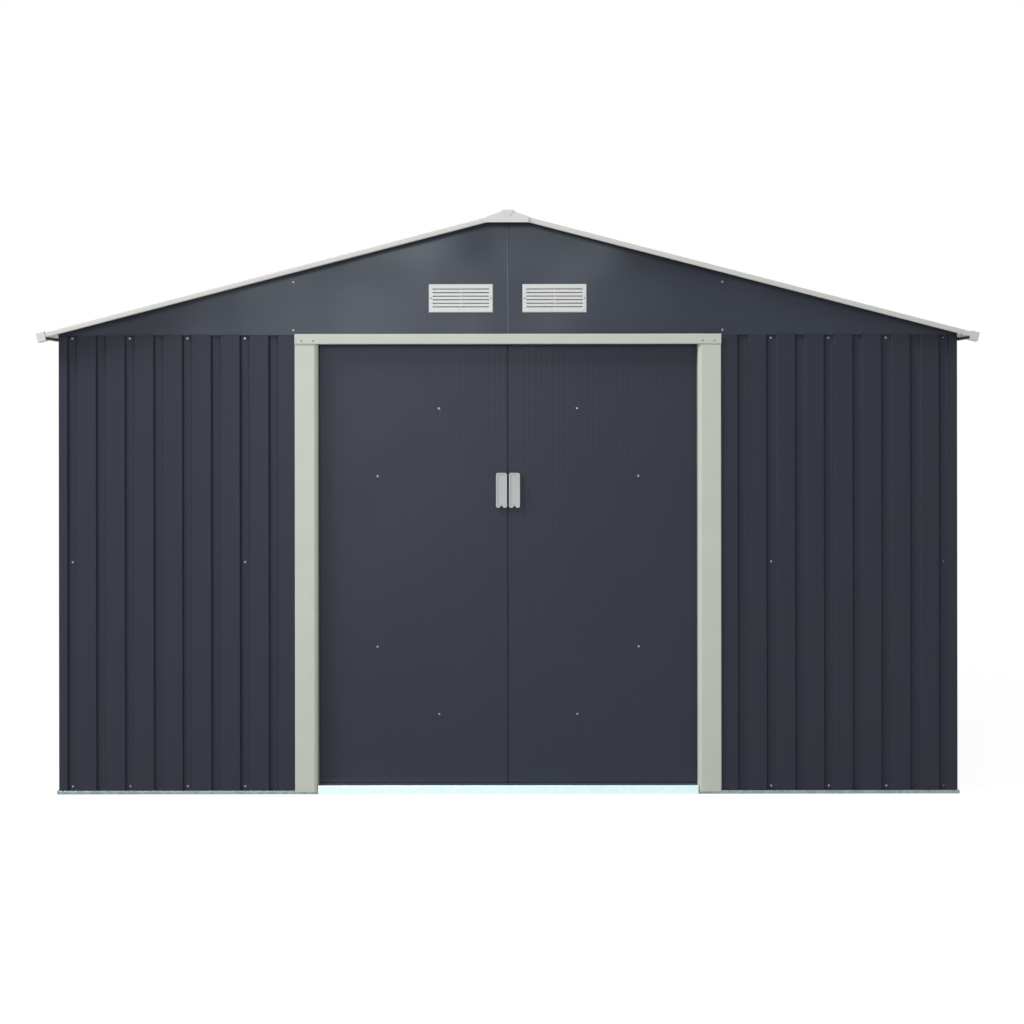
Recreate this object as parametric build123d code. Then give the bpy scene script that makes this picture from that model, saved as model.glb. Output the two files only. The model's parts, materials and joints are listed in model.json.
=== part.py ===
"""Metal storage shed with a pitched roof and two sliding doors.

Millimetres. X runs to the right as seen from the front, Y towards the back and Z up. The origin is
on the ground at the middle of the plan. Nearly every piece is folded sheet steel, so most are made
by thickening a line of folds and drawing it out along the piece.
"""

import math
import os

from build123d import *

# Overall sizes
wall_width = 3236.0
wall_depth = 2640.0
wall_top = 1655.0
roof_pitch_degrees = 14.55
roof_seat_rise = 1.5
eave_overhang = 56.0
rake_overhang = 65.0

# Sheet thicknesses and fits
sheet_gauge = 0.8
rail_gauge = 1.2
trim_gauge = 0.8
fit = 0.2
running_fit = 0.3
cut_overrun = 5.0

# Ribbed wall sheets
rib_pitch = 103.5
rib_floor = 27.0
rib_flank = 3.5
rib_depth = 10.0
corner_rib_inset = 48.5
lap_margin = 1.5
sheet_pitches = 6
front_lap_share = 0.86
jamb_rib_inset = 78.0
jamb_lap = 20.0

# Base rails
base_lip_out = 5.0
base_lip_height = 12.5
base_upright = 40.0

# Door sill and floor guide rail
sill_out = 8.0
sill_height = 32.0
sill_in = 34.0
guide_rail_setback = 6.4
guide_rail_toe = 5.9
guide_rail_gap = 0.5
guide_rail_foot = 23.0
guide_rail_height = 25.0

# Doorway, jambs and header
doorway_width = 1368.0
jamb_face = 70.5
jamb_bevel_width = 12.0
jamb_bevel_depth = 8.0
jamb_out = 10.0
jamb_in = 33.0
jamb_bottom = 9.0
header_drop = 37.0
header_height = 37.0
header_depth = 4.0

# Door track
track_drop = 12.0
track_height = 42.0
track_top_flange = 28.0
track_strap_gap = 6.0
track_lip = 6.0
track_end_gap = 10.0

# Doors
door_gap = 5.0
door_overlap = 32.0
door_foot_gap = 5.0
door_head_gap = 8.0
door_jamb_gap = 7.0
door_depth = 18.0
stiffener_spacing = 222.0
stiffener_crest = 30.0
stiffener_flank = 6.0
stiffener_flange = 14.0

# Door hangers and guides
strap_width = 34.0
strap_gauge = 3.0
strap_drop = 90.0
strap_rise = 14.0
roller_radius = 14.0
roller_width = 10.0
roller_clearance = 12.0
axle_radius = 4.0
guide_block_length = 50.0
guide_block_depth = 10.0
guide_block_drop = 14.0
guide_block_inset = 80.0

# Door handles
handle_width = 40.0
handle_height = 126.0
handle_depth = 18.0
handle_corner = 7.0
handle_rim = 6.0
handle_floor = 16.0
handle_notch_width = 15.0
handle_notch_height = 9.0
handle_edge_gap = 1.0
handle_centre = 1090.5

# Gables
gable_drop = 4.0
gable_flange = 30.0
gable_lap = 5.0
gable_joggle = 3.0

# Louvred vents
vent_width = 231.0
vent_height = 102.0
vent_inner_edge = 53.0
vent_rise = 128.0
vent_plate = 4.0
vent_bevel = 2.5
vent_frame_side = 14.5
vent_frame_end = 12.6
vent_slot_count = 6
vent_wall = 2.0
vent_spigot = 12.0
vent_bar = 7.0
vent_blade = 2.2
vent_blade_rise = 8.0
vent_mullion = 4.0

# Roof framing
purlin_share = 0.478
purlin_crest = 40.0
purlin_depth = 50.0
purlin_lip = 12.0
ridge_beam_half_width = 25.0
ridge_beam_depth = 70.0
ridge_beam_wing = 35.0
top_rail_drop = 60.0
top_rail_flange = 33.0

# Wall braces
brace_share = 0.504
brace_half_crest = 12.0
brace_flank = 4.0
brace_flange = 16.0
brace_depth = 16.0

# Roof sheets
roof_rib_pitch = 140.0
roof_rib_top = 22.0
roof_rib_flank = 6.0
roof_rib_height = 8.0
roof_end_rib_inset = 70.0
roof_sheet_pitches = 5
roof_ridge_gap = 22.0

# Roof trims and caps
trim_face = 18.0
trim_flange = 30.0
trim_return = 10.0
ridge_cap_wing = 72.0
ridge_cap_start = 20.0
ridge_cap_half_top = 16.0
ridge_cap_step = 7.0
cap_wall = 3.0
eave_cap_length = 27.0
eave_cap_skirt = 8.0
ridge_end_half_width = 75.0
ridge_end_drop = 44.0
ridge_end_shoulder = 18.0
ridge_end_half_crest = 21.6
ridge_end_crest = 5.6
ridge_end_taper = 2.4
ridge_end_hood = 25.0
ridge_end_relief = 2.5
ridge_end_bar = 14.0
ridge_end_half_stem = 7.0
ridge_end_stem_drop = 20.0

# Values that follow from the sizes above
half_width = wall_width / 2
half_depth = wall_depth / 2
front_face = -half_depth
slope = math.tan(math.radians(roof_pitch_degrees))
slope_cos = math.cos(math.radians(roof_pitch_degrees))
slope_sin = math.sin(math.radians(roof_pitch_degrees))
roof_seat = wall_top + roof_seat_rise
ridge_height = roof_seat + half_width * slope
frame_line = -(sheet_gauge + 2 * fit)
lap_depth = sheet_gauge + fit
wall_back = rib_depth + 2 * lap_depth
half_doorway = doorway_width / 2
jamb_outer = half_doorway + jamb_bevel_width + jamb_face
header_bottom = wall_top - header_drop
header_top = header_bottom + header_height
track_bottom = wall_top - track_drop
track_top = track_bottom + track_height
door_width = half_doorway + door_overlap - door_gap / 2
door_bottom = guide_rail_height + door_foot_gap
door_top = track_bottom - door_head_gap
door_inset = jamb_in + door_jamb_gap
track_floor = door_inset + door_depth - track_strap_gap - wall_back
guide_rail_inset = door_inset + guide_rail_setback
base_foot_in = guide_rail_inset - guide_rail_toe - guide_rail_gap
gable_bottom = wall_top - gable_drop
vent_slot_length = vent_width - 2 * vent_frame_side
vent_slot_pitch = (vent_height - 2 * vent_frame_end) / vent_slot_count
vent_centre_out = vent_inner_edge + vent_width / 2
vent_centre_height = wall_top + vent_rise
purlin_out = half_width * purlin_share
top_rail_bottom = wall_top - top_rail_drop
brace_height = wall_top * brace_share
roof_crest = roof_rib_height + 2 * sheet_gauge + fit
trim_crest = roof_crest + fit + trim_gauge
eave_line = (half_width + eave_overhang) / slope_cos
roof_front = front_face - rake_overhang
cutter_reach = 2 * (wall_width + wall_depth)


class WallSide:
    """One wall's own frame: u runs along the wall from its first corner, v inward and z up."""

    def __init__(self, corner, along, length):
        self.plan = Plane(origin=(*corner, 0), x_dir=along, z_dir=(0, 0, 1))
        self.length = length

    def section(self, start):
        """Plane across the wall at a distance from its corner, x running inward and y up."""
        origin = self.plan.origin + self.plan.x_dir * start
        return Plane(origin=origin, x_dir=self.plan.y_dir, z_dir=self.plan.x_dir)


front = WallSide((-half_width, -half_depth), (1, 0, 0), wall_width)
right = WallSide((half_width, -half_depth), (0, 1, 0), wall_depth)
back = WallSide((half_width, half_depth), (-1, 0, 0), wall_width)
left = WallSide((-half_width, half_depth), (0, -1, 0), wall_depth)


def offset_line(points, gauge):
    """The line moved sideways by the gauge, to its left if positive, with mitred folds."""
    line = [Vector(*point) for point in points]
    sides = []
    for start, end in zip(line, line[1:]):
        along = (end - start).normalized()
        sides.append(Vector(-along.Y, along.X))
    moved = [line[0] + sides[0] * gauge]
    for point, before, after in zip(line[1:-1], sides, sides[1:]):
        moved.append(point + (before + after) * (gauge / (1 + before.dot(after))))
    moved.append(line[-1] + sides[-1] * gauge)
    return moved


def folded(plane, points, gauge, length):
    """A sheet folded along a line of points in a plane and drawn out along its normal."""
    outline = [Vector(*point) for point in points] + offset_line(points, gauge)[::-1]
    face = plane * make_face(Polyline(*outline, close=True))
    return extrude(face, amount=length, dir=plane.z_dir)


def slab(low, high):
    """A box from its lowest to its highest corner."""
    size = Vector(*high) - Vector(*low)
    centre = (Vector(*high) + Vector(*low)) * 0.5
    return Pos(centre) * Box(size.X, size.Y, size.Z)


def half_space(origin, normal):
    """Everything on the outer side of a plane, as far as any cut needs."""
    reach = Box(
        cutter_reach,
        cutter_reach,
        cutter_reach,
        align=(Align.CENTER, Align.CENTER, Align.MIN),
    )
    return Plane(origin=origin, z_dir=normal) * reach


def mirrored(shape):
    """The same piece on the other side of the middle of the shed."""
    return mirror(shape, about=Plane.YZ)


def turned(shape):
    """The same piece at the back of the shed."""
    return Rot(0, 0, 180) * shape


def on_slope(along, above):
    """X and Z of a point on the right slope, from the ridge downhill and up from its seat."""
    x = along * slope_cos + above * slope_sin
    z = ridge_height - along * slope_sin + above * slope_cos
    return (x, z)


def down_slope(along):
    """Plane across the right slope, x running to the back and y up from the seat."""
    x, z = on_slope(along, 0)
    return Plane(origin=(x, 0, z), x_dir=(0, 1, 0), z_dir=(slope_cos, 0, -slope_sin))


def above_slope(above, side):
    """Everything over a plane parallel to the right slope, or to the left one for side -1."""
    x, z = on_slope(0, above)
    return half_space((side * x, 0, z), (side * slope_sin, 0, slope_cos))


def lengthwise(points, gauge, start, end):
    """A sheet folded along points in X and Z and drawn out from front to back."""
    plane = Plane(origin=(0, end, 0), x_dir=(1, 0, 0), z_dir=(0, -1, 0))
    return folded(plane, points, gauge, end - start)


def rib_line(first, middles, last, floor, flank, depths):
    """Line of a ribbed sheet. first and last are lapped ribs, or free edges given as a tuple."""
    half = floor / 2
    first_depth, depth, last_depth = depths
    if isinstance(first, tuple):
        line = [(first[0], 0)]
    else:
        line = [
            (first - half + lap_margin, first_depth),
            (first + half, first_depth),
            (first + half + flank, 0),
        ]
    for middle in middles:
        line += [
            (middle - half - flank, 0),
            (middle - half, depth),
            (middle + half, depth),
            (middle + half + flank, 0),
        ]
    if isinstance(last, tuple):
        line += [(last[0], 0)]
    else:
        line += [
            (last - half - flank, 0),
            (last - half, last_depth),
            (last + half - lap_margin, last_depth),
        ]
    return line


def wall_sheet(side, first, middles, last):
    """A ribbed wall sheet standing on the base rail's ledge."""
    depths = (rib_depth, rib_depth, rib_depth + lap_depth)
    line = rib_line(first, middles, last, rib_floor, rib_flank, depths)
    foot = base_lip_height + fit
    return Pos(0, 0, foot) * folded(side.plan, line, sheet_gauge, wall_top - foot)


def lapped_sheets(ribs, pitches, make_sheet):
    """Sheets that lap on shared ribs, each about the given number of pitches wide."""
    spans = len(ribs) - 1
    count = max(1, round(spans / pitches))
    laps = [round(index * spans / count) for index in range(count + 1)]
    return [
        make_sheet(ribs[low], ribs[low + 1 : high], ribs[high])
        for low, high in zip(laps, laps[1:])
    ]


def closed_wall(side):
    """A whole wall between two corner posts."""
    run = side.length - 2 * corner_rib_inset
    spans = round(run / rib_pitch)
    ribs = [corner_rib_inset + index * run / spans for index in range(spans + 1)]
    return lapped_sheets(
        ribs,
        sheet_pitches,
        lambda first, middles, last: wall_sheet(side, first, middles, last),
    )


def front_wall_ribs():
    """Rib places on the left front wall, from the corner to the rib beside the jamb."""
    nearest = half_width - jamb_outer - jamb_rib_inset
    run = nearest - corner_rib_inset
    spans = round(run / rib_pitch)
    return [corner_rib_inset + index * run / spans for index in range(spans + 1)]


def front_wall_left():
    """Two lapped sheets from the corner post to behind the jamb."""
    ribs = front_wall_ribs()
    lap = round((len(ribs) - 1) * front_lap_share)
    edge = half_width - jamb_outer + jamb_lap
    return [
        wall_sheet(front, ribs[0], ribs[1:lap], ribs[lap]),
        wall_sheet(front, ribs[lap], ribs[lap + 1 :], (edge,)),
    ]


def front_wall_right():
    """The left wall's ribs in reverse order, with the laps facing the same way."""
    ribs = [wall_width - rib for rib in reversed(front_wall_ribs())]
    lap = len(ribs) - 1 - round((len(ribs) - 1) * front_lap_share)
    edge = half_width + jamb_outer - jamb_lap
    return [
        wall_sheet(front, (edge,), ribs[:lap], ribs[lap]),
        wall_sheet(front, ribs[lap], ribs[lap + 1 : -1], ribs[-1]),
    ]


def corner_post(side):
    """Folded post at the far corner of a wall, lapped under the next wall's first sheet."""
    near = corner_rib_inset - rib_floor / 2
    far = corner_rib_inset + rib_floor / 2 - lap_margin
    under = rib_depth + lap_depth
    line = [
        (-far, rib_depth),
        (-near, rib_depth),
        (-near + rib_flank, 0),
        (0, 0),
        (0, near - rib_flank),
        (-under, near),
        (-under, far),
    ]
    foot = base_lip_height + fit
    corner = side.plan.origin + side.plan.x_dir * side.length + Vector(0, 0, foot)
    plane = Plane(origin=corner, x_dir=side.plan.x_dir, z_dir=(0, 0, 1))
    return folded(plane, line, sheet_gauge, wall_top - foot)


def base_section():
    """Foot on the ground, lip, ledge under the wall sheets and upright behind them."""
    return [
        (base_foot_in, 0),
        (-base_lip_out, 0),
        (-base_lip_out, base_lip_height),
        (wall_back, base_lip_height),
        (wall_back, base_lip_height + base_upright),
    ]


def base_rail(side):
    """A base rail along one wall, mitred at both corners."""
    start = -base_lip_out
    rail = folded(
        side.section(start), base_section(), -rail_gauge, side.length + 2 * base_lip_out
    )
    for along, out in ((start + fit, -1), (side.length - start - fit, 1)):
        corner = side.plan.from_local_coords((along, start, 0))
        normal = side.plan.x_dir * out + side.plan.y_dir
        rail -= half_space(corner, normal)
    return rail


def front_base_rails():
    """The front rail, cut away between the jambs."""
    half_gap = half_doorway + trim_gauge + 2 * fit
    depth = base_foot_in + base_lip_out
    top = base_lip_height + base_upright
    low = (-half_gap, front_face - depth, -cut_overrun)
    high = (half_gap, front_face + depth, top + cut_overrun)
    return (base_rail(front) - slab(low, high)).solids()


def door_sill():
    """Folded sill between the jambs, standing on its two edges."""
    line = [
        (-sill_out, 0),
        (-sill_out, sill_height),
        (sill_in, sill_height),
        (sill_in, 0),
    ]
    start = half_width - half_doorway + fit
    return folded(front.section(start), line, -rail_gauge, doorway_width - 2 * fit)


def door_guide_rail():
    """Angle on the ground behind the base rail, whose rib guides the doors."""
    line = [
        (guide_rail_inset + guide_rail_foot, 0),
        (guide_rail_inset, 0),
        (guide_rail_inset, guide_rail_height),
    ]
    inset = base_foot_in + guide_rail_gap
    toe = [(inset, 0), (guide_rail_inset + rail_gauge / 2, 0)]
    plane = front.section(inset)
    length = wall_width - 2 * inset
    return folded(plane, line, -rail_gauge, length) + folded(plane, toe, rail_gauge, length)


def jamb():
    """Right door jamb: proud face, bevelled inner edge and a return beside the door."""
    line = [
        (jamb_outer, front_face - fit),
        (jamb_outer, front_face - jamb_out),
        (half_doorway + jamb_bevel_width, front_face - jamb_out),
        (half_doorway, front_face - jamb_out + jamb_bevel_depth),
        (half_doorway, front_face + jamb_in),
    ]
    plane = Plane(origin=(0, 0, jamb_bottom))
    post = folded(plane, line, -trim_gauge, track_bottom - fit - jamb_bottom)
    low = (
        half_doorway + trim_gauge + fit,
        front_face - base_lip_out - fit,
        -cut_overrun,
    )
    high = (jamb_outer + cut_overrun, front_face + jamb_in, base_lip_height + fit)
    return post - slab(low, high)


def header():
    """Channel over the doorway, lapped in front of both jambs, with a soffit between them."""
    face = -jamb_out - fit - header_depth
    channel = [
        (face + header_depth, header_top),
        (face, header_top),
        (face, header_bottom),
        (face + header_depth, header_bottom),
    ]
    start = half_width - jamb_outer
    piece = folded(front.section(start), channel, trim_gauge, 2 * jamb_outer)
    soffit = [(face + trim_gauge / 2, header_bottom), (wall_back - fit, header_bottom)]
    start = half_width - half_doorway + fit
    return piece + folded(front.section(start), soffit, trim_gauge, doorway_width - 2 * fit)


def top_rail_reach():
    """How far from the middle a rail as tall as the track fits under the roof."""
    return half_width - (track_top - roof_seat) / slope - track_end_gap


def door_track():
    """Channel behind the front wall's top. The door rollers run on its floor."""
    line = [
        (wall_back + track_top_flange, track_top),
        (wall_back, track_top),
        (wall_back, track_bottom),
        (wall_back + track_floor, track_bottom),
        (wall_back + track_floor, track_bottom + track_lip),
    ]
    reach = top_rail_reach()
    return folded(front.section(half_width - reach), line, rail_gauge, 2 * reach)


def back_top_rail():
    """Plain channel behind the back wall's top."""
    line = [
        (wall_back + top_rail_flange, track_top),
        (wall_back, track_top),
        (wall_back, top_rail_bottom),
        (wall_back + top_rail_flange, top_rail_bottom),
    ]
    reach = top_rail_reach()
    return folded(back.section(half_width - reach), line, rail_gauge, 2 * reach)


def side_top_rail(side):
    """Channel behind a side wall's top, its upper flange lying along the roof slope."""

    def under_roof(inward):
        return roof_seat + inward * slope + frame_line / slope_cos

    inner = wall_back + top_rail_flange
    line = [
        (inner, top_rail_bottom),
        (wall_back, top_rail_bottom),
        (wall_back, under_roof(wall_back)),
        (inner, under_roof(inner)),
    ]
    start = wall_back
    return folded(side.section(start), line, -rail_gauge, side.length - 2 * start)


def brace_run(side, start, end):
    """Hat-shaped brace along the inside of a wall at mid height."""
    crest = wall_back + brace_depth
    heights = (
        (wall_back, brace_half_crest + brace_flank + brace_flange),
        (wall_back, brace_half_crest + brace_flank),
        (crest, brace_half_crest),
    )
    line = [(inward, brace_height - drop) for inward, drop in heights]
    line += [(inward, brace_height + rise) for inward, rise in reversed(heights)]
    return folded(side.section(start), line, -rail_gauge, end - start)


def wall_braces():
    """Braces on all five walls, stopped short of each other at the corners."""
    inset = wall_back + brace_depth + rail_gauge + fit
    edge = half_width - jamb_outer
    pieces = [brace_run(side, wall_back, side.length - wall_back) for side in (left, right)]
    pieces.append(brace_run(back, inset, back.length - inset))
    pieces.append(brace_run(front, inset, edge))
    pieces.append(brace_run(front, front.length - edge, front.length - inset))
    return pieces


def gable_half(side):
    """Half of the front gable, -1 for the left one, which laps over the right one."""
    outer = front_face - fit - sheet_gauge
    if side < 0:
        line = [
            (-half_width, outer),
            (-gable_joggle, outer),
            (0, outer - lap_depth),
            (gable_lap, outer - lap_depth),
        ]
    else:
        line = [(fit, outer), (half_width, outer)]
    plane = Plane(origin=(0, 0, gable_bottom))
    sheet = folded(plane, line, sheet_gauge, ridge_height - gable_bottom)
    sheet -= above_slope(-fit, side)
    sheet -= above_slope(frame_line, -side)
    flange_line = [(outer, -fit), (front_face + gable_flange, -fit)]
    start = gable_joggle + fit
    end = half_width / slope_cos
    flange = folded(down_slope(start), flange_line, -sheet_gauge, end - start)
    sheet += flange if side > 0 else mirrored(flange)
    window_width = vent_slot_length + 2 * (vent_wall + fit)
    window_height = vent_slot_pitch * vent_slot_count + 2 * (vent_wall + fit)
    window = Box(window_width, 2 * cut_overrun, window_height)
    return sheet - Pos(side * vent_centre_out, outer, vent_centre_height) * window


def vent(side):
    """Moulded louvre in one half of the front gable, +1 for the right half."""
    face = front_face - 2 * fit - sheet_gauge
    outer_width = vent_slot_length + 2 * vent_wall
    slot_height = vent_slot_pitch * vent_slot_count
    plate = Pos(0, -vent_plate / 2, 0) * Box(vent_width, vent_plate, vent_height)
    plate = chamfer(plate.faces().sort_by(Axis.Y)[0].edges(), vent_bevel)
    spigot = Pos(0, vent_spigot / 2, 0) * Box(
        outer_width, vent_spigot, slot_height + 2 * vent_wall
    )
    depth = vent_plate + vent_spigot
    opening = Pos(0, depth / 2 - vent_plate, 0) * Box(vent_slot_length, 2 * depth, slot_height)
    body = plate + spigot - opening
    plane = Plane(origin=(-outer_width / 2, 0, 0), x_dir=(0, 1, 0), z_dir=(1, 0, 0))
    blade_front = -vent_plate + vent_bevel
    for index in range(vent_slot_count + 1):
        lower = (index - vent_slot_count / 2) * vent_slot_pitch - vent_bar / 2
        upper = lower + vent_bar
        blade = [(blade_front, lower), (blade_front, upper), (vent_spigot, upper + vent_blade_rise)]
        limit = Box(outer_width, 2 * depth, slot_height + vent_wall)
        body += folded(plane, blade, vent_blade, outer_width) & limit
    bar_depth = vent_spigot - blade_front + vent_blade / 2
    bar = Pos(0, vent_spigot - bar_depth / 2, 0) * Box(
        vent_mullion, bar_depth, slot_height + vent_wall
    )
    return Pos(side * vent_centre_out, face, vent_centre_height) * (body + bar)


def ridge_beam():
    """Trough under the ridge with a wing along each slope."""
    drop = frame_line / slope_cos
    outer = ridge_beam_half_width + ridge_beam_wing

    def under_roof(x):
        return ridge_height - abs(x) * slope + drop

    floor = under_roof(ridge_beam_half_width) - ridge_beam_depth
    half_line = [
        (outer, under_roof(outer)),
        (ridge_beam_half_width, under_roof(ridge_beam_half_width)),
        (ridge_beam_half_width, floor),
    ]
    line = [(-x, z) for x, z in half_line] + half_line[::-1]
    return lengthwise(line, -rail_gauge, front_face, half_depth)


def purlin():
    """Hat-shaped beam under the middle of the right slope."""
    middle = purlin_out / slope_cos
    half = purlin_crest / 2
    low = frame_line - purlin_depth
    places = [
        (middle - half - purlin_lip, low),
        (middle - half, low),
        (middle - half, frame_line),
        (middle + half, frame_line),
        (middle + half, low),
        (middle + half + purlin_lip, low),
    ]
    line = [on_slope(along, above) for along, above in places]
    return lengthwise(line, -rail_gauge, front_face, half_depth)


def roof_slope():
    """The ribbed sheets of the right slope, lapped on their ribs, from the ridge to the eave."""
    start = roof_front + trim_gauge + fit
    first = start + roof_end_rib_inset
    run = -2 * first
    spans = round(run / roof_rib_pitch)
    ribs = [first + index * run / spans for index in range(spans + 1)]
    plane = down_slope(roof_ridge_gap)
    length = eave_line - trim_gauge - fit - roof_ridge_gap
    depths = (roof_rib_height + lap_depth, roof_rib_height, roof_rib_height)
    inner = ribs[1:-1]

    def sheet(low, middles, high):
        first_edge = (start,) if low == inner[0] else low
        last_edge = (-start,) if high == inner[-1] else high
        ends = ([ribs[0], low] if low == inner[0] else []) + middles
        ends += [high, ribs[-1]] if high == inner[-1] else []
        line = rib_line(first_edge, ends, last_edge, roof_rib_top, roof_rib_flank, depths)
        return folded(plane, line, sheet_gauge, length)

    return lapped_sheets(inner, roof_sheet_pitches, sheet)


def roof_trim():
    """Channel along the front edge of the right slope."""
    low = trim_crest - trim_face
    line = [
        (roof_front + trim_flange, trim_crest),
        (roof_front, trim_crest),
        (roof_front, low),
        (roof_front + trim_return, low),
    ]
    start = ridge_cap_wing + fit
    return folded(down_slope(start), line, trim_gauge, eave_line - start)


def eave_trim():
    """Channel along the right eave, between the front and back trims."""
    low = trim_crest - trim_face
    places = [
        (eave_line - trim_flange, trim_crest),
        (eave_line, trim_crest),
        (eave_line, low),
        (eave_line - trim_return, low),
    ]
    line = [on_slope(along, above) for along, above in places]
    start = roof_front + trim_flange + fit
    return lengthwise(line, -trim_gauge, start, -start)


def eave_end_cap():
    """Moulded cap over the front end of the right eave, open uphill and to the back."""
    low = trim_crest - trim_face
    length = eave_cap_length + fit + cap_wall
    reach = trim_flange + fit + cap_wall
    bottom = -fit - eave_cap_skirt
    top = trim_face + fit
    outer = slab((-fit - cap_wall, bottom - cap_wall, 0), (reach, top + cap_wall, length))
    inner = slab(
        (-fit, bottom, -cut_overrun),
        (reach + cut_overrun, top, length - cap_wall),
    )
    plane = down_slope(eave_line - eave_cap_length)
    x, z = on_slope(eave_line - eave_cap_length, low)
    plane = Plane(origin=(x, roof_front, z), x_dir=plane.x_dir, z_dir=plane.z_dir)
    return plane * (outer - inner)


def ridge_line(clear):
    """Underside of a cap over the ridge, clear of the ribs by a distance."""
    wing = on_slope(ridge_cap_wing, roof_crest + clear)
    start = on_slope(ridge_cap_start, roof_crest + clear)
    top = (ridge_cap_half_top + clear, start[1] + ridge_cap_step)
    half_line = [wing, start, top]
    return [(-x, z) for x, z in half_line] + half_line[::-1]


def ridge_cap():
    """Folded cap over the ridge, stepped up in the middle."""
    return lengthwise(ridge_line(fit), sheet_gauge, roof_front, -roof_front)


def ridge_end_cap():
    """Moulded cap over the front end of the ridge: a plate with leaning wings, and a hood."""
    clear = 2 * fit + sheet_gauge
    hood_top = max(z for x, z in ridge_line(clear)) + vent_wall
    crest = hood_top + fit + vent_wall
    shoulder = crest - ridge_end_crest
    foot = crest - ridge_end_drop - fit
    half_outline = [
        (ridge_end_half_width, foot),
        (ridge_end_half_width, shoulder - ridge_end_shoulder),
        (ridge_end_half_crest + ridge_end_taper, shoulder),
        (ridge_end_half_crest, crest),
    ]
    outline = half_outline + [(-x, z) for x, z in reversed(half_outline)]
    plate_back = roof_front - fit
    plane = Plane(origin=(0, plate_back, 0), x_dir=(1, 0, 0), z_dir=(0, -1, 0))
    depth = cap_wall + ridge_end_relief
    plate = extrude(plane * make_face(Polyline(*outline, close=True)), depth, dir=(0, -1, 0))
    bar_top = foot + ridge_end_bar
    over = crest + cut_overrun
    beyond = ridge_end_half_width + cut_overrun
    wing = Polyline(
        (ridge_end_half_stem, bar_top),
        (ridge_end_half_stem, crest - ridge_end_stem_drop),
        (ridge_end_half_crest, shoulder),
        (ridge_end_half_crest, over),
        (beyond, over),
        (beyond, bar_top),
        close=True,
    )
    cut = extrude(plane * make_face(wing), depth + cut_overrun, dir=(0, -1, 0))
    cut &= half_space(
        (0, plate_back - depth, bar_top), (0, bar_top - crest, ridge_end_relief)
    )
    plate -= cut
    plate -= mirrored(cut)
    hood_front = plate_back - cap_wall / 2
    return plate + lengthwise(
        ridge_line(clear), vent_wall, hood_front, plate_back + ridge_end_hood
    )


def door_centre():
    """Distance of the closed right door's middle from the middle of the shed."""
    return (door_gap + door_width) / 2


def door_leaf():
    """Right door: a sheet with all four edges folded back."""
    low = (door_gap / 2, front_face + door_inset, door_bottom)
    high = (door_gap / 2 + door_width, front_face + door_inset + door_depth, door_top)
    inner_low = tuple(value + sheet_gauge for value in low)
    inner_high = (
        high[0] - sheet_gauge,
        high[1] + cut_overrun,
        high[2] - sheet_gauge,
    )
    return slab(low, high) - slab(inner_low, inner_high)


def stiffener_places():
    """Places of the right door's two stiffeners, which also carry its hangers."""
    return [door_centre() + side * stiffener_spacing / 2 for side in (-1, 1)]


def door_stiffeners():
    """Two upright hats behind the right door's sheet."""
    seat = front_face + door_inset + sheet_gauge + fit
    crest = front_face + door_inset + door_depth - fit - sheet_gauge
    half = stiffener_crest / 2
    half_line = [
        (half + stiffener_flank + stiffener_flange, seat),
        (half + stiffener_flank, seat),
        (half, crest),
    ]
    line = [(-x, y) for x, y in half_line] + half_line[::-1]
    foot = door_bottom + sheet_gauge + fit
    height = door_top - sheet_gauge - fit - foot
    return [
        folded(Plane(origin=(place, 0, foot)), line, sheet_gauge, height)
        for place in stiffener_places()
    ]


def door_hangers():
    """Two straps behind the right door, each with a roller standing on the track's floor."""
    strap_front = front_face + door_inset + door_depth
    axle_height = track_bottom + rail_gauge + running_fit + roller_radius
    roller_front = front_face + wall_back + rail_gauge + roller_clearance
    pieces = []
    for place in stiffener_places():
        strap = slab(
            (place - strap_width / 2, strap_front, door_top - strap_drop),
            (
                place + strap_width / 2,
                strap_front + strap_gauge,
                axle_height + strap_rise,
            ),
        )
        plane = Plane(origin=(place, roller_front, axle_height), z_dir=(0, 1, 0))
        roller = extrude(plane * Circle(roller_radius), roller_width, dir=(0, 1, 0))
        axle_length = strap_front + strap_gauge - roller_front
        axle = extrude(plane * Circle(axle_radius), axle_length, dir=(0, 1, 0))
        pieces.append(strap + roller + axle)
    return pieces


def door_guides():
    """Two forked blocks under the right door that straddle the guide rail's rib."""
    rib_front = front_face + guide_rail_inset
    slot = (rib_front - running_fit, rib_front + rail_gauge + running_fit)
    middle = (slot[0] + slot[1]) / 2
    top = door_bottom - fit
    bottom = top - guide_block_drop
    pieces = []
    for side in (-1, 1):
        place = door_centre() + side * (door_width / 2 - guide_block_inset)
        half = guide_block_length / 2
        block = slab(
            (place - half, middle - guide_block_depth / 2, bottom),
            (place + half, middle + guide_block_depth / 2, top),
        )
        gap = slab(
            (place - half - cut_overrun, slot[0], bottom - cut_overrun),
            (place + half + cut_overrun, slot[1], guide_rail_height + running_fit),
        )
        pieces.append(block - gap)
    return pieces


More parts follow.
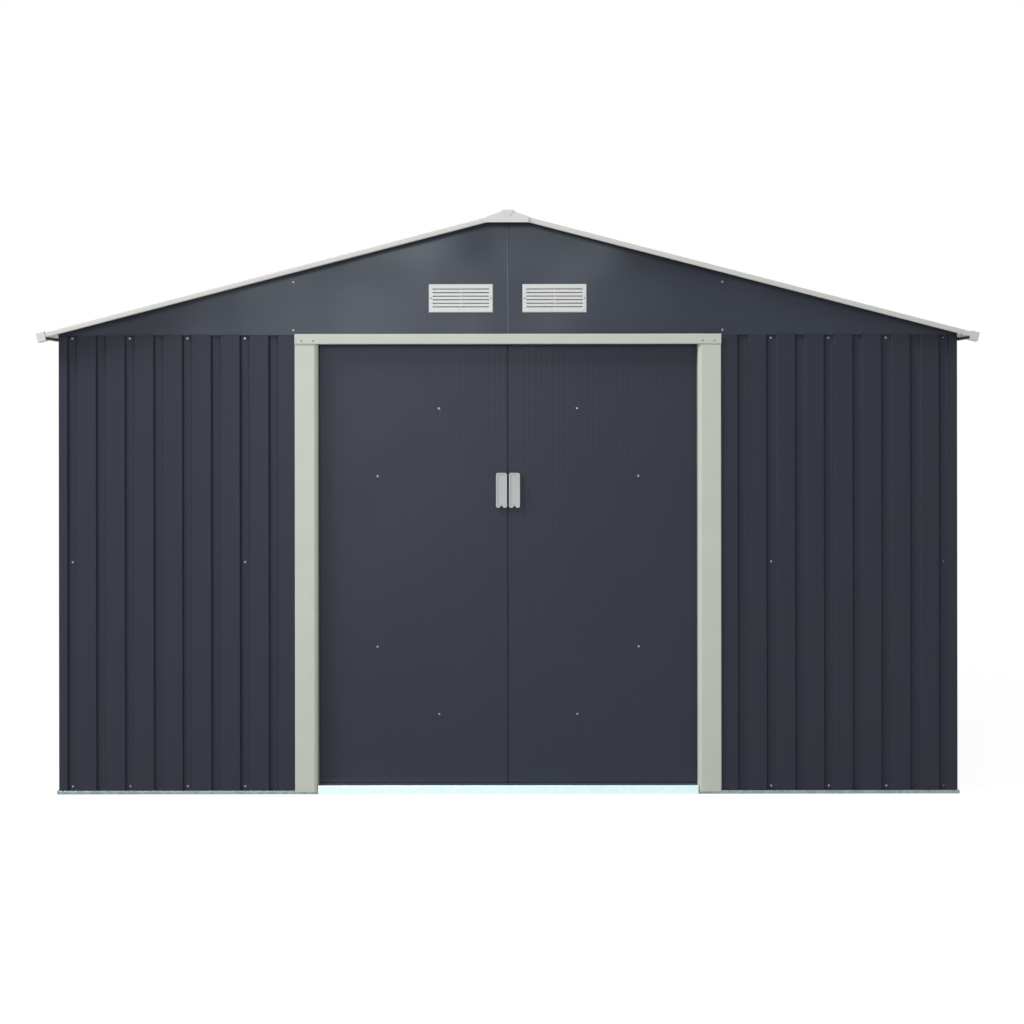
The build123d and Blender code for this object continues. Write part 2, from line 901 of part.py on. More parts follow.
def door_handle():
    """Right door's pull: a rimmed dish with a notch in its lower rim."""
    middle = door_gap / 2 + handle_edge_gap + handle_width / 2
    back_face = front_face + door_inset - fit
    plane = Plane(origin=(middle, back_face, handle_centre), x_dir=(1, 0, 0), z_dir=(0, -1, 0))
    body = extrude(
        plane * RectangleRounded(handle_width, handle_height, handle_corner), handle_depth
    )
    dish_plane = plane.offset(handle_floor)
    dish = RectangleRounded(
        handle_width - 2 * handle_rim, handle_height - 2 * handle_rim, handle_corner - handle_rim / 2
    )
    body -= extrude(dish_plane * dish, handle_depth)
    low = -handle_height / 2
    notch = Polyline(
        (-handle_notch_width / 2, low - cut_overrun),
        (-handle_notch_width / 2, low),
        (0, low + handle_notch_height),
        (handle_notch_width / 2, low),
        (handle_notch_width / 2, low - cut_overrun),
        close=True,
    )
    through = handle_depth + 2 * cut_overrun
    return body - extrude(plane.offset(-cut_overrun) * make_face(notch), through)


def several(pieces):
    """Separate solids of one node."""
    return Compound(children=[solid for piece in pieces for solid in piece.solids()])


def door_nodes(name, place):
    """The five nodes of one door, placed from the right door's."""
    return {
        f"{name}_door_leaf": place(door_leaf()),
        f"{name}_door_stiffeners": several([place(piece) for piece in door_stiffeners()]),
        f"{name}_door_hangers": several([place(piece) for piece in door_hangers()]),
        f"{name}_door_guides": several([place(piece) for piece in door_guides()]),
        f"{name}_door_handle": place(door_handle()),
    }


def all_nodes():
    """Every node of the shed by name."""
    right_gable = gable_half(1)
    left_gable = gable_half(-1)
    left_vent = vent(-1)
    right_vent = vent(1)
    slope_sheets = roof_slope()
    trims = [roof_trim(), mirrored(roof_trim())]
    eave_caps = [eave_end_cap(), mirrored(eave_end_cap())]
    right_purlin = purlin()
    right_eave = eave_trim()
    end_cap = ridge_end_cap()
    nodes = {
        "front_base_rails": several(front_base_rails()),
        "side_base_rails": several([base_rail(left), base_rail(right)]),
        "back_base_rail": base_rail(back),
        "door_sill": door_sill(),
        "door_guide_rail": door_guide_rail(),
        "corner_posts": several([corner_post(side) for side in (front, right, back, left)]),
        "front_wall_left": several(front_wall_left()),
        "front_wall_right": several(front_wall_right()),
        "left_wall": several(closed_wall(left)),
        "right_wall": several(closed_wall(right)),
        "back_wall": several(closed_wall(back)),
        "wall_braces": several(wall_braces()),
        "side_top_rails": several([side_top_rail(left), side_top_rail(right)]),
        "back_top_rail": back_top_rail(),
        "door_track": door_track(),
        "left_jamb": mirrored(jamb()),
        "right_jamb": jamb(),
        "header": header(),
        "front_gable_left": left_gable,
        "front_gable_right": right_gable,
        "back_gable_left": turned(right_gable),
        "back_gable_right": turned(left_gable),
        "front_left_vent": left_vent,
        "front_right_vent": right_vent,
        "back_vents": several([turned(left_vent), turned(right_vent)]),
        "ridge_beam": ridge_beam(),
        "purlins": several([right_purlin, mirrored(right_purlin)]),
        "left_roof": several([mirrored(sheet) for sheet in slope_sheets]),
        "right_roof": several(slope_sheets),
        "ridge_cap": ridge_cap(),
        "ridge_end_caps": several([end_cap, turned(end_cap)]),
        "front_roof_trims": several(trims),
        "back_roof_trims": several([turned(trim) for trim in trims]),
        "eave_trims": several([right_eave, mirrored(right_eave)]),
        "eave_end_caps": several(eave_caps + [turned(cap) for cap in eave_caps]),
    }
    nodes.update(door_nodes("right", lambda piece: piece))
    nodes.update(door_nodes("left", mirrored))
    return nodes


os.makedirs("parts", exist_ok=True)
for node_name, shape in all_nodes().items():
    export_step(shape, f"parts/{node_name}.step")
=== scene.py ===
"""Looks of the metal storage shed: rounded folds, coated and galvanised steel, mouldings and screws.

Metres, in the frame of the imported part: X to the right as seen from the front, Y towards the back
and Z up.
"""

import json
import math

import bmesh
import bpy
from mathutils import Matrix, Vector
from mathutils.bvhtree import BVHTree

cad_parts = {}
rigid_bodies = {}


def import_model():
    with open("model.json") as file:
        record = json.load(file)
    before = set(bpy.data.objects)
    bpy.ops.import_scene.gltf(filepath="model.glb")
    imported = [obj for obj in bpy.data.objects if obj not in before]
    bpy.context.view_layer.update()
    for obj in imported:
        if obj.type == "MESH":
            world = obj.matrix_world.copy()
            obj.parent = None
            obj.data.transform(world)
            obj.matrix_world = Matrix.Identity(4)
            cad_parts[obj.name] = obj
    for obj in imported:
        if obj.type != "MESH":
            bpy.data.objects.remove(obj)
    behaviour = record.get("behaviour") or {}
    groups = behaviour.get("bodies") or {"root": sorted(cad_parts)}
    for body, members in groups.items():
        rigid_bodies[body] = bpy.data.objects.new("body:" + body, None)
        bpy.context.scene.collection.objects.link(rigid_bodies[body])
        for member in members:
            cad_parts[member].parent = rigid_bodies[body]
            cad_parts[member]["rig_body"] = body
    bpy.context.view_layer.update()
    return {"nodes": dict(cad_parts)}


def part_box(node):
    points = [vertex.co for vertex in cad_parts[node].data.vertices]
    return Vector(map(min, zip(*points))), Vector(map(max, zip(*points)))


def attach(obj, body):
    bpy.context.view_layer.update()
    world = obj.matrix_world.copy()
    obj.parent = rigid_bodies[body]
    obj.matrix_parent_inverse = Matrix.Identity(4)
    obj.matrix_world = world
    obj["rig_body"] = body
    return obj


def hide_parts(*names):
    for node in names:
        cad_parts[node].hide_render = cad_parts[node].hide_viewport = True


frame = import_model()

bl_info = {
    "name": "Metal storage shed",
    "version": (1, 0, 0),
    "blender": (4, 5, 0),
    "location": "View3D > Sidebar > Shed",
    "description": "Dresses the folded steel shed with its finishes, mouldings and screws",
    "category": "Object",
}

# Nodes by finish
WALL_NODES = (
    "front_wall_left",
    "front_wall_right",
    "left_wall",
    "right_wall",
    "back_wall",
    "corner_posts",
)
GABLE_NODES = ("front_gable_left", "front_gable_right", "back_gable_left", "back_gable_right")
ROOF_NODES = ("left_roof", "right_roof", "ridge_cap")
DOOR_NODES = ("left_door_leaf", "right_door_leaf")
DOOR_FRAME_NODES = ("left_jamb", "right_jamb", "header")
TRIM_NODES = ("front_roof_trims", "back_roof_trims", "eave_trims")
BASE_NODES = ("front_base_rails", "side_base_rails", "back_base_rail", "door_guide_rail")
FRAMING_NODES = (
    "wall_braces",
    "side_top_rails",
    "back_top_rail",
    "door_track",
    "ridge_beam",
    "purlins",
    "left_door_stiffeners",
    "right_door_stiffeners",
)
VENT_NODES = ("front_left_vent", "front_right_vent", "back_vents")
CAP_NODES = ("ridge_end_caps", "eave_end_caps")
HANDLE_NODES = ("left_door_handle", "right_door_handle")
RUNNER_NODES = (
    "left_door_hangers",
    "right_door_hangers",
    "left_door_guides",
    "right_door_guides",
)

# Meshing: a fold is rounded where its faces are wider than FACE_SHARE times the radius
MERGE_DISTANCE = 0.00001
FLAT_ANGLE = math.radians(1)
FOLD_ANGLE = math.radians(20)
SHARP_ANGLE = math.radians(50)
FOLD_SEGMENTS = 2
FACE_SHARE = 1.2
RAY_REACH = 1.0

# Grooves of the wall sheets, with SHEET_RIBS from lap to lap, and ribs of the roof sheets
CORNER_RIB_INSET = 0.0485
RIB_PITCH = 0.1035
JAMB_RIB_INSET = 0.078
SHEET_RIBS = 6
ROOF_RIB_INSET = 0.071
ROOF_RIB_PITCH = 0.14

# Tints of the dark coating where it looks warmest and coolest
WARM_SHARES = (1.08, 0.98, 0.92)
COOL_SHARES = (0.92, 1.02, 1.08)

# Which part of the noise gives the clouds in the sheen
CLOUD_PLACE = 4.6

# A wave texture at scale 1 repeats at this length
WAVE_LENGTH = math.pi / 10

# Sockets of a mix node that mixes colours
MIX_FIRST = 6
MIX_SECOND = 7
MIX_RESULT = 2

# Closing strips between the doors
STRIP_WIDTH = 0.002
STRIP_SETBACK = 0.002
STRIP_INSET = 0.004

# Screw places: heights, and distances from the middle
GABLE_ROWS = (1.842, 1.669)
HEADER_ROW = 1.630
HEADER_SPOTS = (0.700, 0.742)
DOOR_SPOTS = ((0.250, 1.387), (0.472, 1.142), (0.473, 0.524), (0.250, 0.280))
VENT_INSET = 0.0075
RIDGE_ROW = 0.11
EAVE_INSET = 0.03
EAVE_BOLTS = (1.607, 1.627)
TRIM_INSET = 0.005

# Shape of a screw: its sides, and its crown and slot as shares of the head's radius
SCREW_SIDES = 14
CROWN_SHARE = 0.62
SLOT_SHARE = 1.1
SPIN_SEED = 7

# The floor's own tone, its glow, and how much of what is seen outdoors is glow
FLOOR_TONE = 0.55
FLOOR_GLOW = 1.165
GLOW_SHARE = 0.8

# The sky's light low down and overhead, and the heights between which it changes
SKY_COLOUR = (0.98, 0.99, 1.0, 1.0)
SKY_LOW = 0.55
SKY_HIGH = 1.3
SKY_FROM = -0.1
SKY_TO = 0.9


def linear(hex_colour):
    """An sRGB hex colour as linear red, green, blue and alpha."""
    values = [int(hex_colour[index : index + 2], 16) / 255 for index in (1, 3, 5)]
    bright = [
        value / 12.92 if value <= 0.04045 else ((value + 0.055) / 1.055) ** 2.4
        for value in values
    ]
    return (*bright, 1.0)


def add_node(tree, kind, inputs=None, **settings):
    """Adds a node with its settings, and fills its inputs with values or other nodes' outputs."""
    node = tree.nodes.new(kind)
    for name, value in settings.items():
        setattr(node, name, value)
    for socket, value in (inputs or {}).items():
        if isinstance(value, bpy.types.NodeSocket):
            tree.links.new(value, node.inputs[socket])
        else:
            node.inputs[socket].default_value = value
    return node


def colour_property(name, description, hex_colour):
    """A colour that a user can change, kept as linear values."""
    return bpy.props.FloatVectorProperty(
        name=name,
        description=description,
        subtype="COLOR",
        size=4,
        min=0.0,
        max=1.0,
        default=linear(hex_colour),
    )


def length_property(name, description, metres):
    """A length that a user can change."""
    return bpy.props.FloatProperty(
        name=name, description=description, unit="LENGTH", subtype="DISTANCE", default=metres
    )


class ShedFinish(bpy.types.PropertyGroup):
    """Colours of the coatings and mouldings, and how round their edges are."""

    wall_colour: colour_property("Walls", "Coating of the walls and corner posts", "#2c2e37")
    gable_colour: colour_property("Gables", "Coating of the gable sheets", "#222733")
    door_colour: colour_property("Doors", "Coating of the sliding doors", "#2c2e38")
    roof_colour: colour_property("Roof", "Coating of the roof sheets", "#2c2e37")
    lining_colour: colour_property("Lining", "Coating under the roof sheets", "#cbcdc7")
    frame_colour: colour_property("Door frame", "Coating of the jambs and header", "#aeb0a4")
    trim_colour: colour_property("Roof trims", "Coating of the roof and eave trims", "#b8b6b0")
    sill_colour: colour_property("Sill", "Bright metal of the door sill", "#d8eff2")
    zinc_colour: colour_property("Zinc", "Zinc of the base rails and framing", "#88989b")
    screw_colour: colour_property("Screws", "Plating of the screw heads", "#a9acad")
    dark_screw_colour: colour_property("Dark screws", "Plating of the small screws", "#5a5c58")
    vent_colour: colour_property("Vents", "Plastic of the vents", "#bcbcb8")
    cap_colour: colour_property("Caps", "Plastic of the ridge and eave caps", "#bab7b3")
    handle_colour: colour_property("Handles", "Plastic of the door pulls", "#a1a1a1")
    runner_colour: colour_property("Runners", "Zinc of the door hangers and guides", "#7b8082")
    sheet_fold: length_property("Sheet folds", "Outer radius of the folds in thin sheet", 0.0018)
    rib_fold: length_property("Rib folds", "Outer radius of the folds in the walls' ribs", 0.0034)
    frame_fold: length_property("Frame folds", "Outer radius of the folds in the frame", 0.0030)
    moulded_edge: length_property("Moulded edges", "Radius of the edges of the mouldings", 0.0007)


class ShedScrews(bpy.types.PropertyGroup):
    """Sizes of the screws and where their rows run."""

    head_radius: length_property("Head radius", "Radius of a screw's head", 0.0028)
    head_height: length_property("Head height", "Height of a screw's head", 0.0022)
    washer_radius: length_property("Washer radius", "Radius of a screw's washer", 0.0036)
    washer_height: length_property("Washer height", "Thickness of a screw's washer", 0.0008)
    slot_width: length_property("Slot width", "Width of the cross in a screw's head", 0.0009)
    top_drop: length_property("Top row", "Top row of wall screws under the walls' top", 0.0146)
    middle_height: length_property("Middle row", "Height of the brace's wall screws", 0.834)
    foot_height: length_property("Foot row", "Height of the base rail's wall screws", 0.026)
    purlin_out: length_property("Purlin screws", "Distance of the purlins from the middle", 0.772)
    small_share: bpy.props.FloatProperty(
        name="Small screws", description="Size of the small dark screws to the others", default=0.7
    )
    bolt_share: bpy.props.FloatProperty(
        name="Eave bolts", description="Size of the eave bolts to the screws", default=1.5
    )


class ShedStage(bpy.types.PropertyGroup):
    """The camera, the lamps and the floor."""

    camera_distance: length_property("Camera distance", "From the lens to the front wall", 6.0)
    camera_height: length_property("Camera height", "Height of the lens over the floor", 1.374)
    view_width: length_property("View width", "Width of the picture at the front wall", 3.686)
    roll: bpy.props.FloatProperty(
        name="Roll",
        description="Turn of the camera about its axis",
        subtype="ANGLE",
        default=math.radians(0.07),
    )
    shift_x: bpy.props.FloatProperty(
        name="Shift across", description="Lens shift across, in picture widths", default=0.0040
    )
    shift_y: bpy.props.FloatProperty(
        name="Shift up", description="Lens shift up, in picture widths", default=-0.0977
    )
    key_power: bpy.props.FloatProperty(
        name="Key lamp", description="Power of the large lamp", unit="POWER", default=960.0
    )
    sheen_power: bpy.props.FloatProperty(
        name="Sheen lamp", description="Power of the gable's lamp", unit="POWER", default=75.0
    )
    door_power: bpy.props.FloatProperty(
        name="Door lamp", description="Power of the left door's lamp", unit="POWER", default=24.0
    )
    sky_strength: bpy.props.FloatProperty(
        name="Sky", description="Strength of the light from all round", default=0.6
    )
    floor_size: length_property("Floor", "Width of the floor", 600.0)


def start_material(name):
    """A new material, with its node tree, its shader and the place on the object."""
    material = bpy.data.materials.new(name)
    material.use_nodes = True
    tree = material.node_tree
    place = add_node(tree, "ShaderNodeTexCoord").outputs["Object"]
    return material, tree, tree.nodes["Principled BSDF"], place


def shares_of(colour, shares):
    """A colour with its red, green and blue times their shares, up to full brightness."""
    return (*[min(value * share, 1.0) for value, share in zip(colour, shares)], 1.0)


def even_shares(colour, share):
    """A colour with its red, green and blue times the same share."""
    return shares_of(colour, (share, share, share))


def tint(tree, shader, factor, first, second):
    """Gives a shader a colour that wanders between two."""
    mix = add_node(
        tree,
        "ShaderNodeMix",
        {"Factor": factor, MIX_FIRST: first, MIX_SECOND: second},
        data_type="RGBA",
    )
    tree.links.new(mix.outputs[MIX_RESULT], shader.inputs["Base Color"])


def bumped(tree, height, distance, normal=None):
    """The normal of a surface that a texture raises by a distance, on top of another normal."""
    inputs = {"Height": height, "Distance": distance, "Strength": 1.0}
    if normal is not None:
        inputs["Normal"] = normal
    return add_node(tree, "ShaderNodeBump", inputs).outputs["Normal"]


def coated_steel(name, colour, roughness, gloss, wave_height, line_pitch=0.0):
    """Steel sheet with a baked coating.

    To the eye it is a deep satin colour that wanders from warm to cool, with a soft sheen. Thin
    sheet never lies quite flat, so the sheen breaks into soft clouds half a metre wide. The
    coating's fine peel is drawn 9 mm wide, coarser than it is, so that it shows. A line pitch adds
    faint upright lines.
    """
    material, tree, shader, place = start_material(name)
    tone_size = 0.35
    wave_size = 0.5
    peel_size = 0.009
    peel_height = 0.00002
    line_height = 0.00012
    roughness_swing = 0.05
    tone = add_node(tree, "ShaderNodeTexNoise", {"Vector": place, "Scale": 1 / tone_size})
    warm = shares_of(colour, WARM_SHARES)
    cool = shares_of(colour, COOL_SHARES)
    tint(tree, shader, tone.outputs["Fac"], warm, cool)
    rough = add_node(
        tree,
        "ShaderNodeMapRange",
        {
            "Value": tone.outputs["Fac"],
            "To Min": roughness - roughness_swing,
            "To Max": roughness + roughness_swing,
        },
    )
    tree.links.new(rough.outputs["Result"], shader.inputs["Roughness"])
    shader.inputs["Specular IOR Level"].default_value = gloss
    waves = add_node(
        tree,
        "ShaderNodeTexNoise",
        {"Vector": place, "W": CLOUD_PLACE, "Scale": 1 / wave_size, "Detail": 1.0},
        noise_dimensions="4D",
    )
    normal = bumped(tree, waves.outputs["Fac"], wave_height)
    peel = add_node(tree, "ShaderNodeTexNoise", {"Vector": place, "Scale": 1 / peel_size})
    normal = bumped(tree, peel.outputs["Fac"], peel_height, normal)
    if line_pitch:
        lines = add_node(
            tree, "ShaderNodeTexWave", {"Vector": place, "Scale": WAVE_LENGTH / line_pitch}
        )
        normal = bumped(tree, lines.outputs["Fac"], line_height, normal)
    tree.links.new(normal, shader.inputs["Normal"])
    return material


def galvanised_steel(name, colour, roughness, spangle=0.15):
    """Zinc on steel: a cool grey metal with flat crystals about 12 mm across, strong or faint."""
    material, tree, shader, place = start_material(name)
    crystal_size = 0.012
    crystals = add_node(
        tree, "ShaderNodeTexVoronoi", {"Vector": place, "Scale": 1 / crystal_size}
    )
    shade = add_node(tree, "ShaderNodeSeparateColor", {"Color": crystals.outputs["Color"]})
    dull = even_shares(colour, 1 - spangle)
    bright = even_shares(colour, 1 + spangle)
    tint(tree, shader, shade.outputs["Red"], dull, bright)
    gloss = add_node(
        tree,
        "ShaderNodeMapRange",
        {
            "Value": shade.outputs["Green"],
            "To Min": roughness - spangle / 2,
            "To Max": roughness + spangle / 2,
        },
    )
    tree.links.new(gloss.outputs["Result"], shader.inputs["Roughness"])
    shader.inputs["Metallic"].default_value = 1.0
    return material


def painted_steel(name, colour):
    """Pale enamelled steel: smooth and half matt, with a slight unevenness of tone and a fine peel.

    The peel is drawn 7 mm wide, coarser than it is, so that it shows.
    """
    material, tree, shader, place = start_material(name)
    tone_size = 0.12
    tone_swing = 0.05
    peel_size = 0.007
    peel_height = 0.00003
    tone = add_node(tree, "ShaderNodeTexNoise", {"Vector": place, "Scale": 1 / tone_size})
    dull = even_shares(colour, 1 - tone_swing)
    bright = even_shares(colour, 1 + tone_swing)
    tint(tree, shader, tone.outputs["Fac"], dull, bright)
    shader.inputs["Roughness"].default_value = 0.42
    shader.inputs["Specular IOR Level"].default_value = 0.4
    peel = add_node(tree, "ShaderNodeTexNoise", {"Vector": place, "Scale": 1 / peel_size})
    normal = bumped(tree, peel.outputs["Fac"], peel_height)
    tree.links.new(normal, shader.inputs["Normal"])
    return material


def moulded_plastic(name, colour, roughness):
    """Moulded ABS: even colour, a soft shine and the fine spark texture of its mould.

    The texture is drawn 2.5 mm wide, coarser than it is, so that it shows.
    """
    material, tree, shader, place = start_material(name)
    spark_size = 0.0025
    spark_height = 0.00003
    flow_size = 0.06
    flow_swing = 0.04
    flow = add_node(tree, "ShaderNodeTexNoise", {"Vector": place, "Scale": 1 / flow_size})
    dull = even_shares(colour, 1 - flow_swing)
    bright = even_shares(colour, 1 + flow_swing)
    tint(tree, shader, flow.outputs["Fac"], dull, bright)
    shader.inputs["Roughness"].default_value = roughness
    shader.inputs["IOR"].default_value = 1.53
    spark = add_node(tree, "ShaderNodeTexNoise", {"Vector": place, "Scale": 1 / spark_size})
    normal = bumped(tree, spark.outputs["Fac"], spark_height)
    tree.links.new(normal, shader.inputs["Normal"])
    return material


def merged_copy(node):
    """A node's mesh with its loose triangles joined and its flat faces made whole."""
    shape = bmesh.new()
    shape.from_mesh(frame["nodes"][node].data)
    bmesh.ops.remove_doubles(shape, verts=shape.verts, dist=MERGE_DISTANCE)
    bmesh.ops.dissolve_limit(
        shape, angle_limit=FLAT_ANGLE, verts=shape.verts, edges=shape.edges
    )
    return shape


def is_fold(edge, radius):
    """Whether an edge is a fold between two faces that are wide enough for the radius."""
    if len(edge.link_faces) != 2 or edge.calc_face_angle() < FOLD_ANGLE:
        return False
    width = min(face.calc_area() for face in edge.link_faces) / edge.calc_length()
    return width > radius * FACE_SHARE


def evaluated_mesh(piece):
    """The mesh that a piece's modifiers give, with the modifiers taken off."""
    graph = bpy.context.evaluated_depsgraph_get()
    mesh = bpy.data.meshes.new_from_object(piece.evaluated_get(graph))
    piece.modifiers.clear()
    return mesh


def dressed(node, shape, edges, radius, clamp, material):
    """A piece that stands for a node, with edges rounded and shaded smooth and the rest flat."""
    bevel = bmesh.ops.bevel(
        shape,
        geom=edges,
        offset=radius,
        offset_type="OFFSET",
        segments=FOLD_SEGMENTS,
        profile=0.5,
        affect="EDGES",
        clamp_overlap=clamp,
    )
    rounded = set(bevel["faces"])
    for face in shape.faces:
        face.smooth = True
    for edge in shape.edges:
        meets_round = any(face in rounded for face in edge.link_faces)
        limit = SHARP_ANGLE if meets_round else FLAT_ANGLE
        edge.smooth = edge.calc_face_angle(math.pi) < limit
    mesh = bpy.data.meshes.new(f"{node}_dressed")
    shape.to_mesh(mesh)
    shape.free()
    piece = bpy.data.objects.new(f"{node}_dressed", mesh)
    bpy.context.scene.collection.objects.link(piece)
    even = piece.modifiers.new("even_shading", "WEIGHTED_NORMAL")
    even.keep_sharp = True
    piece.data = evaluated_mesh(piece)
    piece.data.materials.clear()
    piece.data.materials.append(material)
    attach(piece, frame["nodes"][node]["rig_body"])
    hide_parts(node)
    return piece


def folded_piece(node, radius, material):
    """A folded sheet with its folds rounded as a press leaves them."""
    shape = merged_copy(node)
    folds = [edge for edge in shape.edges if is_fold(edge, radius)]
    return dressed(node, shape, folds, radius, False, material)


def moulded_piece(node, radius, material):
    """A moulding with all its edges eased."""
    shape = merged_copy(node)
    edges = [
        edge
        for edge in shape.edges
        if len(edge.link_faces) == 2 and edge.calc_face_angle() > FOLD_ANGLE
    ]
    return dressed(node, shape, edges, radius, True, material)


def finish_node(node, material):
    """Gives a node that keeps its own shape its finish."""
    for slot in frame["nodes"][node].material_slots:
        slot.material = material


class SHED_OT_wall_sheets(bpy.types.Operator):
    """Rounds and coats the walls and corner posts"""

    bl_idname = "shed.wall_sheets"
    bl_label = "Wall sheets"

    def execute(self, context):
        finish = context.scene.shed_finish
        coating = coated_steel(
            "coated_steel_walls",
            finish.wall_colour,
            roughness=0.38,
            gloss=0.12,
            wave_height=0.0012,
        )
        for node in WALL_NODES:
            folded_piece(node, finish.rib_fold, coating)
        return {"FINISHED"}


class SHED_OT_gables(bpy.types.Operator):
    """Rounds and coats the gable sheets"""

    bl_idname = "shed.gables"
    bl_label = "Gables"

    def execute(self, context):
        finish = context.scene.shed_finish
        coating = coated_steel(
            "coated_steel_gables",
            finish.gable_colour,
            roughness=0.31,
            gloss=0.32,
            wave_height=0.03,
        )
        for node in GABLE_NODES:
            folded_piece(node, finish.sheet_fold, coating)
        return {"FINISHED"}


class SHED_OT_roof_sheets(bpy.types.Operator):
    """Rounds and coats the roof sheets and the ridge cap"""

    bl_idname = "shed.roof_sheets"
    bl_label = "Roof sheets"

    def execute(self, context):
        finish = context.scene.shed_finish
        coating = coated_steel(
            "coated_steel_roof",
            finish.roof_colour,
            roughness=0.38,
            gloss=0.12,
            wave_height=0.0012,
        )
        lining = painted_steel("lining_coat_roof", finish.lining_colour)
        for node in ROOF_NODES:
            piece = folded_piece(node, finish.sheet_fold, coating)
            piece.data.materials.append(lining)
            for face in piece.data.polygons:
                if face.normal.z < 0:
                    face.material_index = 1
        return {"FINISHED"}


class SHED_OT_door_leaves(bpy.types.Operator):
    """Rounds and coats the sliding doors"""

    bl_idname = "shed.door_leaves"
    bl_label = "Door leaves"

    def execute(self, context):
        finish = context.scene.shed_finish
        coating = coated_steel(
            "coated_steel_doors",
            finish.door_colour,
            roughness=0.36,
            gloss=0.16,
            wave_height=0.004,
            line_pitch=0.021,
        )
        for node in DOOR_NODES:
            folded_piece(node, finish.sheet_fold, coating)
        for side, body in ((-1, "left_door"), (1, "right_door")):
            self.closing_strip(side, body, coating)
        return {"FINISHED"}

    def closing_strip(self, side, body, coating):
        """A strip along a door's meeting edge that narrows the gap to a fine line."""
        low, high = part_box(f"{body}_leaf")
        edge = min(abs(low.x), abs(high.x))
        inner = side * (edge - STRIP_WIDTH)
        outer = side * edge
        front = low.y + STRIP_SETBACK
        bottom = low.z + STRIP_INSET
        top = high.z - STRIP_INSET
        ring = [(inner, front), (outer, front), (outer, high.y), (inner, high.y)]
        corners = [(x, y, z) for z in (bottom, top) for x, y in ring]
        sides = [(turn, (turn + 1) % 4, (turn + 1) % 4 + 4, turn + 4) for turn in range(4)]
        shape = bmesh.new()
        verts = [shape.verts.new(corner) for corner in corners]
        for face in sides + [(3, 2, 1, 0), (4, 5, 6, 7)]:
            shape.faces.new([verts[index] for index in face])
        bmesh.ops.recalc_face_normals(shape, faces=shape.faces)
        mesh = bpy.data.meshes.new(f"{body}_closing_strip")
        shape.to_mesh(mesh)
        shape.free()
        mesh.materials.append(coating)
        piece = bpy.data.objects.new(f"{body}_closing_strip", mesh)
        bpy.context.scene.collection.objects.link(piece)
        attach(piece, body)


class SHED_OT_door_frame(bpy.types.Operator):
    """Rounds and paints the jambs, the header and the roof's trims"""

    bl_idname = "shed.door_frame"
    bl_label = "Door frame and trims"

    def execute(self, context):
        finish = context.scene.shed_finish
        frame_paint = painted_steel("enamelled_steel_frame", finish.frame_colour)
        trim_paint = painted_steel("enamelled_steel_trims", finish.trim_colour)
        for node in DOOR_FRAME_NODES:
            folded_piece(node, finish.frame_fold, frame_paint)
        for node in TRIM_NODES:
            folded_piece(node, finish.frame_fold, trim_paint)
        return {"FINISHED"}


class SHED_OT_rails(bpy.types.Operator):
    """Gives the base rails, sill and inner framing their zinc"""

    bl_idname = "shed.rails"
    bl_label = "Rails and framing"

    def execute(self, context):
        finish = context.scene.shed_finish
        zinc = galvanised_steel("galvanised_steel_rails", finish.zinc_colour, roughness=0.42)
        sill = galvanised_steel(
            "bright_zinc_sill", finish.sill_colour, roughness=0.3, spangle=0.02
        )
        for node in BASE_NODES:
            folded_piece(node, finish.sheet_fold, zinc)
        folded_piece("door_sill", finish.frame_fold, sill)
        for node in FRAMING_NODES:
            finish_node(node, zinc)
        return {"FINISHED"}


class SHED_OT_mouldings(bpy.types.Operator):
    """Eases and colours the vents, caps, pulls and door runners"""

    bl_idname = "shed.mouldings"
    bl_label = "Mouldings"

    def execute(self, context):
        finish = context.scene.shed_finish
        white = moulded_plastic("moulded_abs_white", finish.vent_colour, roughness=0.38)
        grey = moulded_plastic("moulded_abs_grey", finish.handle_colour, roughness=0.45)
        runner = galvanised_steel("zinc_plated_runners", finish.runner_colour, roughness=0.4)
        cap = moulded_plastic("moulded_abs_caps", finish.cap_colour, roughness=0.42)
        for node in VENT_NODES:
            moulded_piece(node, finish.moulded_edge, white)
        for node in CAP_NODES:
            moulded_piece(node, finish.moulded_edge, cap)
        for node in HANDLE_NODES:
            moulded_piece(node, finish.moulded_edge, grey)
        for node in RUNNER_NODES:
            finish_node(node, runner)
        return {"FINISHED"}


